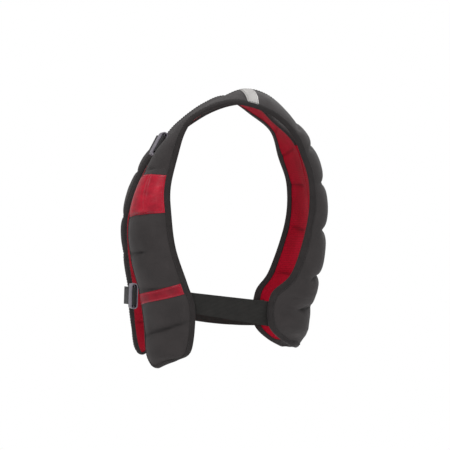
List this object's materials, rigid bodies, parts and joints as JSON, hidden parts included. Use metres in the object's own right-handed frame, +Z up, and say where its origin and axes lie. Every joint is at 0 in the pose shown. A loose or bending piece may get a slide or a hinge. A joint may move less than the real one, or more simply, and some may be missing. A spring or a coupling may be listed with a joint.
{
  "type": "weighted training vest",
  "caption": "Open two-lobed padded vest worn over the shoulders, with sewn weight cells, front release buckles and elastic side straps.",
  "frame": {"origin": "the point midway between the shoulder straps where a bar across both straps holds the vest up", "axes": "+Z up, -Y towards the wearer's front, +X towards the wearer's left"},
  "size_m": [0.2563, 0.3437, 0.4794],
  "materials": {
    "shell_fabric": "charcoal neoprene faced with fine matt knit",
    "lining_fabric": "red padded knit lining, matt",
    "edge_binding": "black folded binding tape",
    "weight_bag": "grey woven bag packed with iron grit",
    "shoulder_foam": "dark closed-cell foam",
    "red_film": "glossy red coated fabric",
    "reflective_tape": "silver-grey retroreflective ribbed tape",
    "elastic": "dark grey woven elastic",
    "webbing": "black woven webbing",
    "buckle_plastic": "moulded grey acetal, satin"
  },
  "bodies": {
    "spine": {"spine_shell": "shell_fabric", "spine_lining": "lining_fabric"},
    "left_half": {"outer_shell_left": "shell_fabric", "lining_left": "lining_fabric", "edge_binding_left": "edge_binding", "weight_bag_front_1_left": "weight_bag", "weight_bag_front_2_left": "weight_bag", "weight_bag_front_3_left": "weight_bag", "weight_bag_front_4_left": "weight_bag", "weight_bag_front_5_left": "weight_bag", "weight_bag_front_6_left": "weight_bag", "weight_bag_back_1_left": "weight_bag", "weight_bag_back_2_left": "weight_bag", "weight_bag_back_3_left": "weight_bag", "weight_bag_back_4_left": "weight_bag", "weight_bag_back_5_left": "weight_bag", "weight_bag_back_6_left": "weight_bag", "shoulder_pad_left": "shoulder_foam", "reflective_strip_left": "reflective_tape", "lower_patch_left": "red_film", "side_strap_left": "elastic", "chest_band_left": "red_film", "upper_buckle_housing": "buckle_plastic", "upper_webbing_loop": "webbing", "lower_buckle_housing": "buckle_plastic", "lower_webbing_loop": "webbing"},
    "right_half": {"outer_shell_right": "shell_fabric", "lining_right": "lining_fabric", "edge_binding_right": "edge_binding", "weight_bag_front_1_right": "weight_bag", "weight_bag_front_2_right": "weight_bag", "weight_bag_front_3_right": "weight_bag", "weight_bag_front_4_right": "weight_bag", "weight_bag_front_5_right": "weight_bag", "weight_bag_front_6_right": "weight_bag", "weight_bag_back_1_right": "weight_bag", "weight_bag_back_2_right": "weight_bag", "weight_bag_back_3_right": "weight_bag", "weight_bag_back_4_right": "weight_bag", "weight_bag_back_5_right": "weight_bag", "weight_bag_back_6_right": "weight_bag", "shoulder_pad_right": "shoulder_foam", "reflective_strip_right": "reflective_tape", "lower_patch_right": "red_film", "side_strap_right": "elastic", "upper_webbing_strap": "webbing", "lower_webbing_strap": "webbing"},
    "upper_tongue": {"upper_buckle_tongue": "buckle_plastic", "upper_buckle_arm_top": "buckle_plastic", "upper_buckle_arm_bottom": "buckle_plastic", "upper_webbing_tail": "webbing"},
    "lower_tongue": {"lower_buckle_tongue": "buckle_plastic", "lower_buckle_arm_top": "buckle_plastic", "lower_buckle_arm_bottom": "buckle_plastic", "lower_webbing_tail": "webbing"}
  },
  "joints": [
    {"name": "left_half_open", "type": "hinge", "parent": "spine", "child": "left_half", "pos_m": [0, 0.131, -0.2], "axis": [0, 0, 1], "range_deg": [0, 35]},
    {"name": "right_half_open", "type": "hinge", "parent": "spine", "child": "right_half", "pos_m": [0, 0.131, -0.2], "axis": [0, 0, 1], "range_deg": [-35, 0]},
    {"name": "upper_tongue_release", "type": "slide", "parent": "right_half", "child": "upper_tongue", "axis": [-1, 0, 0], "range_m": [0, 0.0135], "deforming": ["upper_buckle_arm_top", "upper_buckle_arm_bottom", "upper_webbing_strap"]},
    {"name": "lower_tongue_release", "type": "slide", "parent": "right_half", "child": "lower_tongue", "axis": [-1, 0, 0], "range_m": [0, 0.0135], "deforming": ["lower_buckle_arm_top", "lower_buckle_arm_bottom", "lower_webbing_strap"]}
  ]
}
